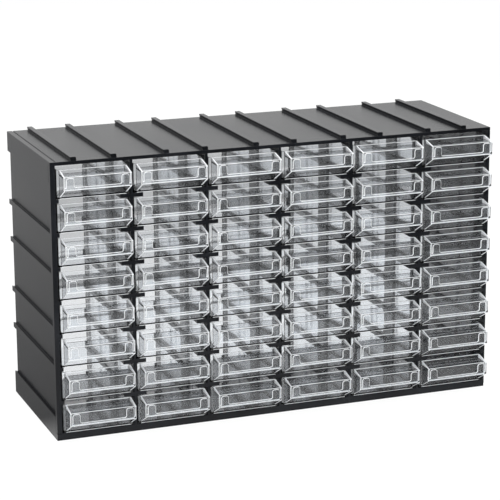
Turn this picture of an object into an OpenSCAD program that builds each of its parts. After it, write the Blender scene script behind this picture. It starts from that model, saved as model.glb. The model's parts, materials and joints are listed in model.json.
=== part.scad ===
// Parts cabinet: a black moulded case with clear drawers that slide out at the front.
// X runs across the front, Y from the front to the back, Z up. The front faces -Y.
// The origin lies under the middle of the whole object, on the surface that it stands on.
// In each module, y is measured from the front face of the case.

/* [Case] */
// Overall width, from the left rim to the right coupling rails
case_w = 382; // [300:1:460]
// Depth of the case, without the drawer handles
case_d = 134; // [122:1:180]
// Height from the base to the flat top
case_h = 227.4; // [200:0.1:290]
// Thickness of the top and bottom plates
plate_t = 2.8; // [2:0.1:4]
// Thickness of the side walls
wall_t = 2; // [1.6:0.1:3]
// Depth of the rim along the front edge of the left wall
rim_d = 4.8; // [4:0.1:9]
// Depth of the slope from the rim down to the wall
rim_slope = 1.2; // [0.6:0.1:5]
// Height of the skirt of the top cover
top_skirt_h = 13.7; // [10:0.1:18]
// Height of the skirt of the bottom cover, from the base
bottom_skirt_h = 18.9; // [14:0.1:24]
// Height of the base ring under the bottom plate
base_h = 2.8; // [2.8:0.1:4]
// Thickness of the base ring
base_ring_t = 2.2; // [1.5:0.1:3]
// Setback of the base ring from the front face
base_ring_back = 0.4; // [0.2:0.1:0.8]
// Distance of the seam line on the top from the left edge
seam_in = 4.5; // [3:0.1:8]
// Width of the seam line
seam_w = 0.8; // [0.4:0.1:1.2]
// Depth of the seam line
seam_deep = 0.6; // [0.2:0.1:0.8]

/* [Coupling rails] */
// Distance from one pair of top rails to the next
top_module = 76; // [60:0.5:80]
// Distance between the two rails of a pair on the top
top_pair = 32.7; // [24:0.1:36]
// Distance of the first top rail from the left edge
top_first = 17.2; // [10:0.1:20]
// Distance from one pair of side rails to the next
side_module = 75.6; // [60:0.1:80]
// Distance between the two rails of a pair on the sides
side_pair = 32.2; // [24:0.1:36]
// Height of the top rails
rail_h = 2.6; // [2:0.1:2.6]
// How far the side rails, skirts and rim stand out
rail_out = 2.2; // [1.8:0.1:2.6]
// Width of a rail
rail_w = 5; // [4:0.1:7]
// How far the tip of a rail reaches over its root
rail_lean = 0.6; // [0.3:0.1:1]
// Size of the chamfer on a rail's other edge
rail_bevel = 0.7; // [0.3:0.1:1.2]
// Clearance between the rails of two coupled cabinets
rail_gap = 0.2; // [0.2:0.1:0.4]

/* [Inner lattice] */
// Thickness of the upright dividers
divider_t = 2; // [1.6:0.1:3]
// Width of a divider's runner at its front pad
pad_w = 8.4; // [6:0.1:10]
// Depth of the front pad
pad_d = 34; // [24:0.5:40]
// Depth over which the pad narrows to the runner
pad_blend = 18; // [8:0.5:24]
// Width of a runner behind its pad, or where it has none
runner_w = 2.4; // [1.8:0.1:5]
// Height of a runner
runner_h = 3.2; // [3.2:0.1:4]
// Thickness of a runner over and under the slots for shelves and bars
runner_t = 1; // [0.8:0.1:1]
// Height of a runner's top face over the row boundary
runner_up = 0.5; // [0.3:0.1:0.8]
// Height of the end stops over the runners
stop_h = 4; // [3:0.1:6]
// Depth of the end stops
stop_d = 1.4; // [1:0.1:3]
// Distance of the first window from the front
window_front = 14; // [10:0.5:20]
// Distance of the middle post from the front
post_front = 47; // [42:0.5:50]
// Depth of the middle post
post_d = 19; // [12:0.5:24]
// Depth of the rear post
rear_post_d = 8; // [6:0.5:12]
// Height of the windows over the row boundary
window_low = 2; // [1.2:0.1:6]
// Distance from the windows up to the next row boundary
window_high = 3.8; // [3.8:0.1:6]
// Corner radius of the windows
window_r = 6; // [2:0.5:8]
// Number of cross shelves, under every second row from the top
shelf_count = 2; // [1:1:3]
// Front edge of the cross shelves
shelf_front = 41; // [37:0.5:44]
// Depth of the cross shelves
shelf_d = 26; // [18:0.5:30]
// Number of rear tie bars, under every second row from the top
tie_count = 3; // [1:1:3]
// Depth of the rear tie bars
tie_d = 4; // [2.5:0.1:5]
// Clearance of shelves and tie bars in their slots
tie_gap = 0.1; // [0.05:0.05:0.2]

/* [Drawers] */
// Clearance on each side of a drawer
side_gap = 0.45; // [0.3:0.05:0.8]
// Clearance between a drawer and its runners
lift = 0.3; // [0.2:0.05:0.4]
// Clearance between a drawer and its end stops
back_gap = 0.3; // [0.2:0.05:0.5]
// Height of a drawer
drawer_h = 23; // [19:0.1:23.4]
// Thickness of a drawer's walls
drawer_t = 1.3; // [1:0.1:1.8]
// Thickness of a drawer's floor
floor_t = 1.2; // [1:0.1:2]
// Radius of a drawer's upright corners
corner_r = 3; // [2:0.1:5]
// How far the ribs that hold a partition stand out
rib_out = 0.8; // [0.4:0.1:1.4]
// Thickness of those ribs
rib_t = 0.8; // [0.6:0.1:1.4]
// Gap between the two ribs of a pair
rib_gap = 1.4; // [1:0.1:2]
// Distance of the ribs below the rim
rib_down = 3; // [1:0.1:6]
// Distance of the first pair of ribs from the front
rib_first = 45; // [30:0.5:54]
// Distance from the first pair of ribs to the second
rib_step = 42; // [30:0.5:50]

/* [Drawer handle] */
// Reach of the handle in front of the case
handle_reach = 14; // [10:0.1:20]
// Distance from the side of the drawer to the handle
handle_in = 2.4; // [1.5:0.1:5]
// Thickness of the handle's walls
handle_t = 1.2; // [0.8:0.1:1.6]
// Distance of the hood below the rim, where it leaves the drawer
hood_down = 2.9; // [1.5:0.1:4]
// Fall of the hood towards the lip
hood_fall = 0.4; // [0:0.1:2]
// Height of the lip
lip_h = 10.4; // [8:0.1:12]
// Height of the cheeks' lower end over the drawer's underside
cheek_foot = 1.5; // [0.5:0.1:4]
// Slot for the label, between the lip and the label frame
label_gap = 0.6; // [0.4:0.1:1]
// Thickness of the label frame
label_t = 0.8; // [0.6:0.1:1.2]
// Distance from the side of the handle to a tab of the label frame
tab_in = 2; // [1.7:0.1:2.5]
// Distance from the side of the handle to the far side of that tab
tab_far = 8.4; // [7:0.1:11]
// Radius of the tabs' upper corners
tab_r = 2; // [1:0.1:2.2]
// Radius of the hollow corner between a tab and the bottom rail
tab_fillet = 1.5; // [0.5:0.1:1.5]
// Height of the label frame's bottom rail
label_rail_h = 2.3; // [1.5:0.1:3.5]
// Height of the floor of the label slot
label_floor_h = 1; // [0.6:0.1:1.4]
// Distance of the label frame below the top of the lip
label_down = 0.6; // [0.2:0.1:2]

/* [Hidden] */
$fn = 96;
columns = 6;
rows = 8;
cut = 1;
// how deep a rail, rib, runner or handle is rooted in its wall
root = 0.6;
front_y = (handle_reach - case_d) / 2;
// the left wall, the right wall and the space between them
left_x = -case_w / 2;
left_wall_x = left_x + rail_out;
left_in = left_wall_x + wall_t;
right_out = rail_out - rail_gap;
right_x = case_w / 2 - right_out;
right_in = right_x - wall_t;
floor_z = base_h + plate_t;
ceiling_z = case_h - plate_t;
// cells and rows
cell_w = (right_in - left_in - (columns - 1) * divider_t) / columns;
row_h = (ceiling_z - floor_z) / rows;
slot_h = runner_h - 2 * runner_t;
slot_z = runner_up - runner_t - slot_h;
tie_t = slot_h - 2 * tie_gap;
// coupling rails
top_pairs = floor((case_w - top_first - top_pair - rail_w) / top_module) + 1;
side_rails = [0, side_module - side_pair, side_module, 2 * side_module - side_pair, 2 * side_module];
rail_front = base_ring_back + base_ring_t + rail_gap;
skirt_y = rim_d + rim_slope;
// drawers
drawer_w = cell_w - 2 * side_gap;
drawer_d = case_d - stop_d - back_gap;
handle_w = drawer_w - 2 * handle_in;
hood_z = drawer_h - hood_down;
lip_z = hood_z - hood_fall;
lip_y = handle_reach - label_t - label_gap;
// radius of the hollow curve that narrows a pad: it meets the runner's edge without a corner
hollow_r = (pow(pad_w - runner_w, 2) + pow(pad_blend, 2)) / (2 * (pad_w - runner_w));
drawer_names = [for (r = [1:rows], c = [1:columns]) str("drawer_r", r, "_c", c)];

// left edge of column c, the boundary under row r, where row 1 is the top one, and the underside of slot k
function cell_x(c) = left_in + (c - 1) * (cell_w + divider_t);
function row_z(r) = floor_z + (rows - r) * row_h;
function tie_z(k) = row_z(2 * k) + slot_z;

// a block given by its lowest and highest corner
module block(a, b) {
    translate(a) cube(b - a);
}

// a rectangle with round corners
module round_plan(size, r) {
    translate([r, 0]) square([size.x - 2 * r, size.y]);
    translate([0, r]) square([size.x, size.y - 2 * r]);
    for (x = [r, size.x - r], y = [r, size.y - r]) translate([x, y]) circle(r);
}

// ---- coupling rails ----

// section of a rail that stands on y = 0 and leans to -X
module rail_section() {
    polygon([[0, rail_h], [rail_w - rail_bevel, rail_h], [rail_w, rail_h - rail_bevel],
        [rail_w, -root], [rail_lean, -root], [rail_lean, 0]]);
}

module along_y(from, to) {
    translate([0, to, 0]) rotate([90, 0, 0]) linear_extrude(to - from) children();
}

function top_rail_x(m, second) = left_x + top_first + m * top_module + (second ? top_pair : 0);

module top_rails() {
    for (m = [0:top_pairs - 1], second = [false, true])
        translate([top_rail_x(m, second), 0, case_h]) along_y(rail_front, case_d) rail_section();
}

// leaning face of a rail: how far it lies from the tip at height z over the root
function lean(z) = rail_lean * (1 - z / rail_h);

// the rails under the base lean the other way and reach in behind the tips of the top rails
module base_rails() {
    for (m = [0:top_pairs - 1], second = [false, true])
        translate([top_rail_x(m, second) - rail_gap, 0, 0]) along_y(rail_front, case_d)
            polygon([[lean(base_h), base_h + root], [lean(base_h), base_h], [lean(rail_gap), rail_gap],
                [lean(rail_gap) - rail_w, rail_gap], [lean(rail_gap) - rail_w, base_h + root]]);
}

// ---- inner lattice ----

// plan of a runner that stands out to +X
module runner_plan(pad) {
    translate([-root, 0]) square([runner_w + root, case_d]);
    if (pad) difference() {
        square([pad_w, pad_d + pad_blend]);
        translate([runner_w + hollow_r, pad_d + pad_blend]) circle(hollow_r);
    }
}

// the runners of rows 1 to 7 with their end stops, standing out to +X
module runners(pad) {
    for (r = [1:rows - 1]) translate([0, 0, row_z(r) + runner_up]) {
        translate([0, 0, -runner_h]) linear_extrude(runner_h) runner_plan(pad);
        block([-root, case_d - stop_d, -runner_t], [runner_w, case_d, stop_h]);
    }
}

// slots for the cross shelves and notches for the tie bars, from x = from to x = to
module tie_slots(from, to) {
    for (k = [1:shelf_count]) translate([0, 0, tie_z(k)])
        block([from, shelf_front - tie_gap, 0], [to, shelf_front + shelf_d + tie_gap, slot_h]);
    for (k = [1:tie_count]) translate([0, 0, tie_z(k)])
        block([from, case_d - tie_d - 2 * tie_gap, 0], [to, case_d + cut, slot_h]);
}

// one window of a divider, as a hole along X
module window(y0, y1) {
    translate([-cut, y0, window_low]) rotate([90, 0, 90]) linear_extrude(divider_t + 2 * cut)
        round_plan([y1 - y0, row_h - window_low - window_high], window_r);
}

// an upright plate with two windows per row and runners on both faces
module divider(number) {
    color([0.11, 0.11, 0.12]) translate([cell_x(number + 1) - divider_t, front_y, 0]) difference() {
        union() {
            difference() {
                block([0, 0, floor_z], [divider_t, case_d, ceiling_z]);
                for (r = [1:rows]) translate([0, 0, row_z(r)]) {
                    window(window_front, post_front);
                    window(post_front + post_d, case_d - rear_post_d);
                }
            }
            translate([divider_t, 0, 0]) runners(pad = true);
            mirror([1, 0, 0]) runners(pad = true);
        }
        tie_slots(-pad_w - cut, divider_t + pad_w + cut);
    }
}

module cross_shelves() {
    color([0.11, 0.11, 0.12]) translate([0, front_y, 0]) for (k = [1:shelf_count])
        translate([0, 0, tie_z(k) + tie_gap])
            block([left_in + tie_gap, shelf_front, 0], [right_in - tie_gap, shelf_front + shelf_d, tie_t]);
}

module rear_tie_bars() {
    color([0.11, 0.11, 0.12]) translate([0, front_y, 0]) for (k = [1:tie_count])
        translate([0, 0, tie_z(k) + tie_gap])
            block([left_in + tie_gap, case_d - tie_d - tie_gap, 0],
                [right_in - tie_gap, case_d - tie_gap, tie_t]);
}

// ---- outer walls ----

// the runners of a side wall, standing out to +X without pads and open for the shelves and bars
module side_runners() {
    difference() {
        runners(pad = false);
        tie_slots(-root - cut, runner_w + cut);
    }
}

// the rim along the front edge of the left wall, with its slope
module rim() {
    translate([0, 0, floor_z]) linear_extrude(ceiling_z - floor_z)
        polygon([[left_x, 0], [left_wall_x + root, 0], [left_wall_x + root, skirt_y],
            [left_wall_x, skirt_y], [left_x, rim_d]]);
}

module left_side() {
    color([0.17, 0.17, 0.18]) translate([0, front_y, 0]) {
        block([left_wall_x, 0, floor_z], [left_in, case_d, ceiling_z]);
        rim();
        for (z = side_rails) if (z > 0) along_y(rim_d, case_d) polygon([
            [left_x, bottom_skirt_h + z], [left_wall_x, bottom_skirt_h + z - rail_lean],
            [left_wall_x + root, bottom_skirt_h + z - rail_lean],
            [left_wall_x + root, bottom_skirt_h + z - rail_w],
            [left_wall_x, bottom_skirt_h + z - rail_w],
            [left_x, bottom_skirt_h + z - rail_w + rail_bevel]]);
        translate([left_in, 0, 0]) side_runners();
    }
}

// a rail of the right wall hangs in over the leaning top of the neighbour's left rail
module right_side() {
    color([0.17, 0.17, 0.18]) translate([0, front_y, 0]) {
        block([right_in, 0, floor_z], [right_x, case_d, ceiling_z]);
        translate([right_in, 0, 0]) mirror([1, 0, 0]) side_runners();
        for (z = side_rails) translate([right_x, 0, bottom_skirt_h + z + rail_gap]) along_y(skirt_y, case_d)
            polygon([[-root, 0], [0, 0], [right_out, -rail_lean * right_out / rail_out],
                [right_out, rail_w - rail_bevel], [0, rail_w], [-root, rail_w]]);
    }
}

module top_cover() {
    color([0.2, 0.2, 0.21]) translate([0, front_y, 0]) {
        difference() {
            block([left_x, 0, ceiling_z], [right_x, case_d, case_h]);
            block([left_x + seam_in, rail_front, case_h - seam_deep],
                [left_x + seam_in + seam_w, case_d + cut, case_h + cut]);
        }
        difference() {
            block([left_x, rim_d, ceiling_z - top_skirt_h], [left_wall_x, case_d, ceiling_z + root]);
            rim();
        }
        top_rails();
    }
}

// low ribs under the drawers of the lowest row, with their end stops
module seat_ribs() {
    for (c = [1:columns], x = [cell_x(c), cell_x(c) + cell_w - runner_w]) translate([x, 0, floor_z]) {
        block([0, 0, -root], [runner_w, case_d, runner_up]);
        block([0, case_d - stop_d, -root], [runner_w, case_d, runner_up + stop_h]);
    }
}

module bottom_cover() {
    color([0.16, 0.16, 0.17]) translate([0, front_y, 0]) {
        block([left_x, 0, base_h], [right_x, case_d, floor_z]);
        block([left_x, base_ring_back, 0], [right_x, base_ring_back + base_ring_t, base_h + root]);
        for (x = [left_x, right_x - base_ring_t])
            block([x, base_ring_back, 0], [x + base_ring_t, case_d, base_h + root]);
        difference() {
            along_y(rim_d, case_d) polygon([[left_x, base_h], [left_wall_x, base_h],
                [left_wall_x, bottom_skirt_h - rail_lean], [left_x, bottom_skirt_h]]);
            rim();
        }
        seat_ribs();
        base_rails();
    }
}

// ---- drawers ----

module tray() {
    difference() {
        linear_extrude(drawer_h) round_plan([drawer_w, drawer_d], corner_r);
        translate([drawer_t, drawer_t, floor_t]) linear_extrude(drawer_h)
            round_plan([drawer_w - 2 * drawer_t, drawer_d - 2 * drawer_t], corner_r - drawer_t);
    }
}

// pairs of ribs inside the tray that hold a partition
module partition_ribs() {
    for (y = [rib_first, rib_first + rib_step], side = [0, 1], k = [0, 1])
        translate([side ? drawer_w - drawer_t - rib_out : drawer_t, y + k * (rib_gap + rib_t), floor_t])
            block([side ? 0 : -root, 0, -root],
                [rib_out + (side ? root : 0), rib_t, drawer_h - rib_down - floor_t]);
}

// an outline in y and z, where y reaches forward, extruded along X
module along_x(w) {
    rotate([90, 0, 90]) linear_extrude(w) mirror([1, 0]) children();
}

// the hood with the lip that hangs from its front edge
module hood() {
    along_x(handle_w) polygon([[-root, hood_z], [0, hood_z], [lip_y, lip_z], [lip_y, lip_z - lip_h],
        [lip_y - handle_t, lip_z - lip_h], [lip_y - handle_t, lip_z - handle_t],
        [0, hood_z - handle_t], [-root, hood_z - handle_t]]);
}

module cheek() {
    along_x(handle_t) polygon([[-root, drawer_h], [0, drawer_h], [handle_reach, lip_z],
        [handle_reach, lip_z - lip_h], [0, cheek_foot], [-root, cheek_foot]]);
}

// half of the label frame, in x and z from its lower left corner: the tab and half of the rail
module frame_half() {
    h = lip_h - label_down;
    square([handle_w / 2, label_rail_h]);
    translate([tab_in, 0]) square([tab_far - tab_in, h - tab_r]);
    translate([tab_in + tab_r, 0]) square([tab_far - tab_in - 2 * tab_r, h]);
    for (x = [tab_in + tab_r, tab_far - tab_r]) translate([x, h - tab_r]) circle(tab_r);
    difference() {
        translate([tab_far - tab_fillet, label_rail_h - tab_fillet]) square(2 * tab_fillet);
        translate([tab_far + tab_fillet, label_rail_h + tab_fillet]) circle(tab_fillet);
    }
}

module label_frame() {
    translate([0, label_t - handle_reach, lip_z - lip_h]) rotate([90, 0, 0]) linear_extrude(label_t) {
        frame_half();
        translate([handle_w, 0]) mirror([1, 0]) frame_half();
    }
    block([0, -handle_reach, lip_z - lip_h], [handle_w, -lip_y + handle_t, lip_z - lip_h + label_floor_h]);
}

module drawer(r, c) {
    color([0.86, 0.88, 0.9, 0.5]) translate([cell_x(c) + side_gap, front_y, row_z(r) + runner_up + lift]) {
        tray();
        partition_ribs();
        translate([handle_in, 0, 0]) {
            hood();
            cheek();
            translate([handle_w - handle_t, 0, 0]) cheek();
            label_frame();
        }
    }
}

top_cover();
bottom_cover();
left_side();
right_side();
cross_shelves();
rear_tie_bars();
for (k = [1:columns - 1]) divider(k);
for (r = [1:rows], c = [1:columns]) drawer(r, c);
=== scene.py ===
import json
import math

import bmesh
import bpy
from mathutils import Matrix, Vector


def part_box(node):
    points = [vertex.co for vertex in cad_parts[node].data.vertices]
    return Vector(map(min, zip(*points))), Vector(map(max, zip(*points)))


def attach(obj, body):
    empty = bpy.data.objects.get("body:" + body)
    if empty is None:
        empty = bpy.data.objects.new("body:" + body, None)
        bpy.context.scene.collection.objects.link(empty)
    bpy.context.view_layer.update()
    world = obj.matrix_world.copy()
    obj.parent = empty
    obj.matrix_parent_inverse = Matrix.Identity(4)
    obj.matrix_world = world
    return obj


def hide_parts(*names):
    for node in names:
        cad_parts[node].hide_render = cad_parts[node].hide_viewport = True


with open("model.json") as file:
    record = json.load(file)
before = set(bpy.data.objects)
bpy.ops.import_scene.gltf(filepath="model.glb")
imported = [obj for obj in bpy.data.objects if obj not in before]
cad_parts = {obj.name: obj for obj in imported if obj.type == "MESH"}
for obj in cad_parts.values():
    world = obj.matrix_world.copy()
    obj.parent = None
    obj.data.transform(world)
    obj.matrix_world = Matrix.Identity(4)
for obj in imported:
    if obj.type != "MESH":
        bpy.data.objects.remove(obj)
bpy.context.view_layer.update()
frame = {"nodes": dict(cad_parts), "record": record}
millimetre = 0.001
print("frame loaded")


class Wire:  # a node's output, on which plain maths adds Math nodes
    def __init__(self, paint, socket):
        self.paint = paint
        self.socket = socket

    def maths(self, operation, first, second):
        return self.paint.node("ShaderNodeMath", {"operation": operation}, {0: first, 1: second})

    def __add__(self, other):
        return self.maths("ADD", self, other)

    def __radd__(self, other):
        return self.maths("ADD", other, self)

    def __mul__(self, other):
        return self.maths("MULTIPLY", self, other)

    def __rmul__(self, other):
        return self.maths("MULTIPLY", other, self)

    def __sub__(self, other):
        return self.maths("SUBTRACT", self, other)

    def __rsub__(self, other):
        return self.maths("SUBTRACT", other, self)


class Paint:  # a material or the world, with the nodes in it
    def __init__(self, owner):
        owner.use_nodes = True
        self.owner = owner
        self.tree = owner.node_tree
        self.tree.nodes.clear()

    def node(self, kind, settings=None, inputs=None, output=0):
        made = self.tree.nodes.new(kind)
        for key, value in (settings or {}).items():
            if key == "stops":  # pairs of a place on the ramp and its grey
                while len(made.color_ramp.elements) < len(value):
                    made.color_ramp.elements.new(1)
                for element, (place, grey) in zip(made.color_ramp.elements, value):
                    element.position = place
                    element.color = (grey, grey, grey, 1)
            else:
                setattr(made, key, value)
        for key, value in (inputs or {}).items():
            if isinstance(value, Wire):
                self.tree.links.new(value.socket, made.inputs[key])
            else:
                made.inputs[key].default_value = value
        return Wire(self, made.outputs[output])

    def objectPlace(self, stretch=(1, 1, 1)):
        where = self.node("ShaderNodeTexCoord", output="Object")
        return self.node("ShaderNodeMapping", inputs={"Vector": where, "Scale": stretch})

    def noise(self, scale, detail=3, stretch=(1, 1, 1)):
        return self.node("ShaderNodeTexNoise", inputs={
            "Vector": self.objectPlace(stretch), "Scale": scale, "Detail": detail})

    def ramp(self, value, stops):
        return self.node("ShaderNodeValToRGB", {"stops": stops}, {0: value})

    def colours(self, share, first, second):
        return self.node("ShaderNodeMix", {"data_type": "RGBA"}, {0: share, 6: first, 7: second}, output=2)

    def bump(self, height, distance):
        return self.node("ShaderNodeBump", inputs={"Height": height, "Distance": distance})

    def finish(self, surface):
        kind = "World" if isinstance(self.owner, bpy.types.World) else "Material"
        output = self.tree.nodes.new("ShaderNodeOutput" + kind)
        self.tree.links.new(surface.socket, output.inputs["Surface"])
        return self.owner


blackPlastic = {
    "base": (0.0066, 0.0073, 0.0088, 1),
    "worn": (0.0142, 0.0156, 0.0188, 1),
    "specular": 0.15,
    "roughness": 0.25,
    "roughnessSpread": 0.12,
    "grainScale": 1800,
    "grainDepth": 0.00003,
    "flowScale": 22,  # the slow variation from how the plastic ran in the mould
    "flowDetail": 4,
    "flowStretch": (1, 0.3, 1),
    "flowStops": ((0.35, 0.0), (0.75, 1.0)),
}


def makeBlackPlastic():
    look = blackPlastic
    paint = Paint(bpy.data.materials.new("blackPlastic"))
    grain = paint.noise(look["grainScale"])
    flow = paint.noise(look["flowScale"], look["flowDetail"], look["flowStretch"])
    shade = paint.colours(paint.ramp(flow, look["flowStops"]), look["base"], look["worn"])
    rough = look["roughness"] + (flow - 0.5) * look["roughnessSpread"]
    surface = paint.node("ShaderNodeBsdfPrincipled", inputs={
        "Base Color": shade, "Roughness": rough, "Specular IOR Level": look["specular"],
        "Normal": paint.bump(grain, look["grainDepth"])})
    return paint.finish(surface)


clearPlastic = {
    "tint": (0.97, 0.98, 0.99, 1),
    "ior": 1.3,
    "roughness": 0.0,
    "roughnessSpread": 0.03,
    "hazeScale": 70,
    "hazeStretch": (1, 0.5, 1),
    "hazeStops": ((0.5, 0.0), (0.8, 1.0)),
}


def clearForLamps(paint, surface, tint):  # lets the lamps shine through, which glass alone would stop
    through = paint.node("ShaderNodeBsdfTransparent", inputs={"Color": tint})
    lampRay = paint.node("ShaderNodeLightPath", output="Is Shadow Ray")
    return paint.node("ShaderNodeMixShader", inputs={0: lampRay, 1: surface, 2: through})


def makeClearPlastic():
    look = clearPlastic
    paint = Paint(bpy.data.materials.new("clearPlastic"))
    haze = paint.ramp(paint.noise(look["hazeScale"], stretch=look["hazeStretch"]), look["hazeStops"])
    rough = look["roughness"] + haze * look["roughnessSpread"]
    glass = paint.node("ShaderNodeBsdfPrincipled", inputs={
        "Base Color": look["tint"], "Roughness": rough, "IOR": look["ior"],
        "Transmission Weight": 1.0})
    return paint.finish(clearForLamps(paint, glass, look["tint"]))


paintedHighlightEdges = {  # painted highlight: the drawers' edges painted white, standing in for the light that runs inside the clear walls and shows at their edges
    "white": (0.93, 0.95, 0.97, 1),
    "transmission": 0.12,
    "roughness": 0.5,
    "roughnessSpread": 0.3,
    "edgeRoughGrainScale": 900,
}


def makePaintedHighlightEdges():
    look = paintedHighlightEdges
    # a white material for the drawers' front edges, a painted highlight
    paint = Paint(bpy.data.materials.new("paintedHighlightEdge"))
    edgeRoughGrain = paint.noise(look["edgeRoughGrainScale"])
    rough = look["roughness"] + (edgeRoughGrain - 0.5) * look["roughnessSpread"]
    surface = paint.node("ShaderNodeBsdfPrincipled", inputs={
        "Base Color": look["white"], "Roughness": rough, "IOR": clearPlastic["ior"],
        "Transmission Weight": look["transmission"]})
    return paint.finish(clearForLamps(paint, surface, look["white"]))


cadMesh = {"joined": 0.005 * millimetre, "flat": math.radians(1), "sharp": math.radians(30)}


def mergedCopy(node, name):  # the CAD node's shape as one joined mesh with flat faces put together
    mesh = frame["nodes"][node].data.copy()
    mesh.name = name
    shape = bmesh.new()
    shape.from_mesh(mesh)
    bmesh.ops.remove_doubles(shape, verts=shape.verts, dist=cadMesh["joined"])
    bmesh.ops.dissolve_limit(shape, angle_limit=cadMesh["flat"], verts=shape.verts, edges=shape.edges)
    mesh.materials.clear()
    return mesh, shape


def isSharp(edge):
    return len(edge.link_faces) == 2 and edge.calc_face_angle() > cadMesh["sharp"]


def place(node, mesh, body, slot):
    piece = bpy.data.objects.new(node + "_piece", mesh)
    bpy.context.scene.collection.objects.link(piece)
    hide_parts(node)
    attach(piece, body)
    return piece


caseEdges = {"bevel": 0.3 * millimetre, "segments": 2, "sharp": math.radians(35)}


def casePiece(node, body, material):
    mesh, shape = mergedCopy(node, node)
    shape.to_mesh(mesh)
    shape.free()
    mesh.materials.append(material)
    piece = place(node, mesh, body, "case_plastic")
    bevel = piece.modifiers.new("edges", "BEVEL")
    bevel.width = caseEdges["bevel"]
    bevel.segments = caseEdges["segments"]
    bevel.limit_method = "ANGLE"
    bevel.angle_limit = caseEdges["sharp"]


drawerEdges = {
    "thin": 1.35 * millimetre,  # a narrower face with sharp sides is the edge of a wall
    "sharpShare": 0.8,  # how much of such a face's outline is sharp
    "wide": 1.2 * millimetre,  # a sharp edge between two wider faces is rounded, and so is each foremost one
    "front": -57 * millimetre,  # only what is in front of this gets the painted white highlight
    "foremost": 0.01 * millimetre,  # an edge within this of the foremost point is a foremost one
    "bevel": 0.35 * millimetre,
    "bevelBehind": 0.175 * millimetre,
}


def faceWidth(face):
    return 2 * face.calc_area() / face.calc_perimeter()


def rearmost(edge):
    return max(corner.co.y for corner in edge.verts)


def isWallEdge(face):
    sharpLength = sum(side.calc_length() for side in face.edges if isSharp(side))
    outlined = sharpLength > drawerEdges["sharpShare"] * face.calc_perimeter()
    return outlined and faceWidth(face) < drawerEdges["thin"]


def roundEdges(shape, edges, width, segments, slot):
    made = bmesh.ops.bevel(shape, geom=edges, offset=width, segments=segments, profile=0.5,
                           affect="EDGES", material=-1)
    for face in made["faces"]:
        face.material_index = slot


def drawerMesh(node, clear, paintedHighlight):  # one drawer with rounded edges, which carry the painted white highlight at the front
    mesh, shape = mergedCopy(node, "drawer")
    clearSlot, paintedHighlightSlot = 0, 1
    for face in shape.faces:
        if isWallEdge(face) and face.calc_center_median().y < drawerEdges["front"]:
            face.material_index = paintedHighlightSlot
    foremost = min(corner.co.y for corner in shape.verts) + drawerEdges["foremost"]
    rounded = [side for side in shape.edges if isSharp(side) and side.is_convex
               and (rearmost(side) < foremost
                    or min(faceWidth(face) for face in side.link_faces) > drawerEdges["wide"])]
    atFront = [side for side in rounded if rearmost(side) < drawerEdges["front"]]
    behind = [side for side in rounded if side not in atFront]
    roundEdges(shape, behind, drawerEdges["bevelBehind"], 1, clearSlot)
    stillThere = [side for side in atFront if side.is_valid]
    roundEdges(shape, stillThere, drawerEdges["bevel"], 2, paintedHighlightSlot)
    shape.to_mesh(mesh)
    shape.free()
    mesh.materials.append(clear)
    mesh.materials.append(paintedHighlight)
    return mesh


black = makeBlackPlastic()
firstDrawer = "drawer_r1_c1"
# the drawers' second material is the painted highlight on their front edges
drawer = drawerMesh(firstDrawer, makeClearPlastic(), makePaintedHighlightEdges())
for body, nodes in frame["record"]["behaviour"]["bodies"].items():
    for node in nodes:
        if node.startswith("drawer"):
            copy = drawer.copy()
            copy.transform(Matrix.Translation(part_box(node)[0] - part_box(firstDrawer)[0]))
            place(node, copy, body, "clear_plastic")
        else:
            casePiece(node, body, black)
print("pieces dressed")


def rays(paint, *names):  # 1 for rays of one of these kinds
    kinds = [paint.node("ShaderNodeLightPath", output=name) for name in names]
    total = kinds[0]
    for kind in kinds[1:]:
        total = total.maths("MAXIMUM", total, kind)
    return total


def halved(value):  # turns -1 to 1 into 0 to 1, for a ramp
    return value * 0.5 + 0.5


floorLook = {
    "size": 6.0,
    "colour": (0.9, 0.9, 0.9, 1),
    "white": 1.05,  # strength of the plain white that is seen
    "shadowShare": 0.1,  # share of the lit floor in it, which holds the shadow
    # greys of the floor from 1 m in front of the origin (0) to 1 m behind it (1), both painted light and
    # shade
    # in polish: dark far in front, a painted bright band just before the cabinet, painted shadow at and
    # behind it
    "paintedLightInPolish": ((0.2, 0.02), (0.36, 1.5), (0.46, 1.5), (0.5, 0.3), (0.7, 0.5), (0.9, 0.65)),
    # through plastic: a painted shadow on the floor far behind the cabinet
    "throughPlastic": ((0.66, 1.0), (0.86, 0.45)),
}


def makeFloor():
    look = floorLook
    shape = bmesh.new()
    bmesh.ops.create_grid(shape, x_segments=1, y_segments=1, size=look["size"] / 2)
    mesh = bpy.data.meshes.new("floor")
    shape.to_mesh(mesh)
    shape.free()
    floor = bpy.data.objects.new("floor", mesh)
    bpy.context.scene.collection.objects.link(floor)
    paint = Paint(bpy.data.materials.new("paleFloor"))
    matte = paint.node("ShaderNodeBsdfDiffuse", inputs={"Color": look["colour"]})
    backwards = paint.node("ShaderNodeSeparateXYZ", inputs={"Vector": paint.objectPlace()}, output="Y")
    glossyRay = rays(paint, "Is Glossy Ray")
    # the floor as polished plastic mirrors it is painted light and shade, not the lit floor
    paintedMirroredFloor = paint.ramp(halved(backwards), look["paintedLightInPolish"]) * glossyRay
    paintedFloorReflection = paint.node("ShaderNodeEmission", inputs={"Color": paintedMirroredFloor, "Strength": 1.0})
    base = paint.node("ShaderNodeMixShader", inputs={0: glossyRay, 1: matte, 2: paintedFloorReflection})
    # painted shadow behind the cabinet, in the floor that clear plastic shows
    through = paint.ramp(halved(backwards), look["throughPlastic"])
    shade = paint.colours(rays(paint, "Is Transmission Ray"), (1, 1, 1, 1), through)
    white = paint.node("ShaderNodeEmission", inputs={"Color": shade, "Strength": look["white"]})
    seen = rays(paint, "Is Camera Ray", "Is Transmission Ray") * (1 - look["shadowShare"])
    both = paint.node("ShaderNodeMixShader", inputs={0: seen, 1: base, 2: white})
    mesh.materials.append(paint.finish(both))


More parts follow.
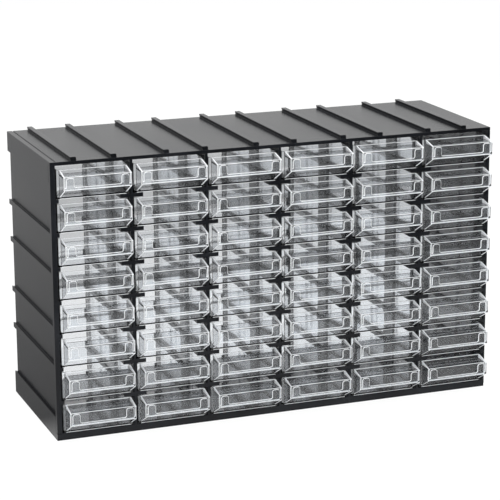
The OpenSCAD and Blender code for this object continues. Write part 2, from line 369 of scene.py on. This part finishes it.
worldLook = {
    "bright": (-0.25, 0.95, 0.2),  # the direction in which the studio is bright
    "studio": ((0.35, 0.2), (0.8, 1.05)),  # its greys, from the opposite direction (0) to that one (1)
    "throughPlastic": ((0.08, 1.0), (0.22, 0.5)),  # greys behind clear plastic, from low down to high up
}


def makeWorld():
    world = bpy.data.worlds.new("studio")
    bpy.context.scene.world = world
    paint = Paint(world)
    direction = paint.node("ShaderNodeTexCoord", output="Generated")
    towards = paint.node("ShaderNodeVectorMath", {"operation": "DOT_PRODUCT"},
                         {0: direction, 1: worldLook["bright"]}, output="Value")
    studio = paint.ramp(halved(towards), worldLook["studio"])
    height = paint.node("ShaderNodeSeparateXYZ", inputs={"Vector": direction}, output="Z")
    through = paint.ramp(height, worldLook["throughPlastic"])
    shade = paint.colours(rays(paint, "Is Transmission Ray"), studio, through)
    shade = paint.colours(rays(paint, "Is Camera Ray"), shade, (1, 1, 1, 1))
    paint.finish(paint.node("ShaderNodeBackground", inputs={"Color": shade, "Strength": 1.0}))


lamps = [
    {"name": "overhead", "place": (0.15, -0.1, 1.3), "aim": (0, 0, 0.15), "size": (1.3, 0.35), "power": 8},
    {"name": "backLeft", "place": (-0.55, 1.25, 0.75), "aim": (0, 0, 0.15), "size": (0.5, 0.5), "power": 5},
    {"name": "front", "place": (-0.5, -1.5, 0.55), "aim": (0, 0, 0.12), "size": (0.6, 0.6), "power": 16},
    {"name": "right", "place": (1.2, 0.5, 0.7), "aim": (0, 0, 0.12), "size": (0.6, 0.6), "power": 7},
]


def makeLamp(look):
    data = bpy.data.lights.new(look["name"], "AREA")
    data.shape = "RECTANGLE"
    data.size, data.size_y = look["size"]
    data.energy = look["power"]
    lamp = bpy.data.objects.new(look["name"], data)
    lamp.location = look["place"]
    lamp.rotation_euler = (Vector(look["aim"]) - Vector(look["place"])).to_track_quat("-Z", "Y").to_euler()
    lamp.visible_camera = lamp.visible_transmission = lamp.visible_glossy = False
    bpy.context.scene.collection.objects.link(lamp)


cameraLook = {
    "azimuth": -20.70, "elevation": 14.66, "roll": -0.25, "lens": 146.0,
    "aside": -0.0037, "above": 0.1209, "distance": 1.7404,
}


def makeCamera():
    look = cameraLook
    azimuth = math.radians(look["azimuth"])
    elevation = math.radians(look["elevation"])
    ahead = Vector((-math.sin(azimuth) * math.cos(elevation), math.cos(azimuth) * math.cos(elevation),
                    -math.sin(elevation)))
    roll = Matrix.Rotation(math.radians(look["roll"]), 3, "Z").to_quaternion()
    turn = ahead.to_track_quat("-Z", "Y") @ roll
    aside = turn @ Vector((1, 0, 0))
    above = turn @ Vector((0, 1, 0))
    data = bpy.data.cameras.new("camera")
    data.lens = look["lens"]
    camera = bpy.data.objects.new("camera", data)
    camera.location = aside * look["aside"] + above * look["above"] - ahead * look["distance"]
    camera.rotation_euler = turn.to_euler()
    bpy.context.scene.collection.objects.link(camera)
    bpy.context.scene.camera = camera


makeFloor()
makeWorld()
for look in lamps:
    makeLamp(look)
makeCamera()
bpy.context.scene.view_settings.view_transform = "Standard"
cycles = bpy.context.scene.cycles  # light passes through many clear walls
cycles.max_bounces = cycles.transmission_bounces = cycles.transparent_max_bounces = 32
print("stage set")
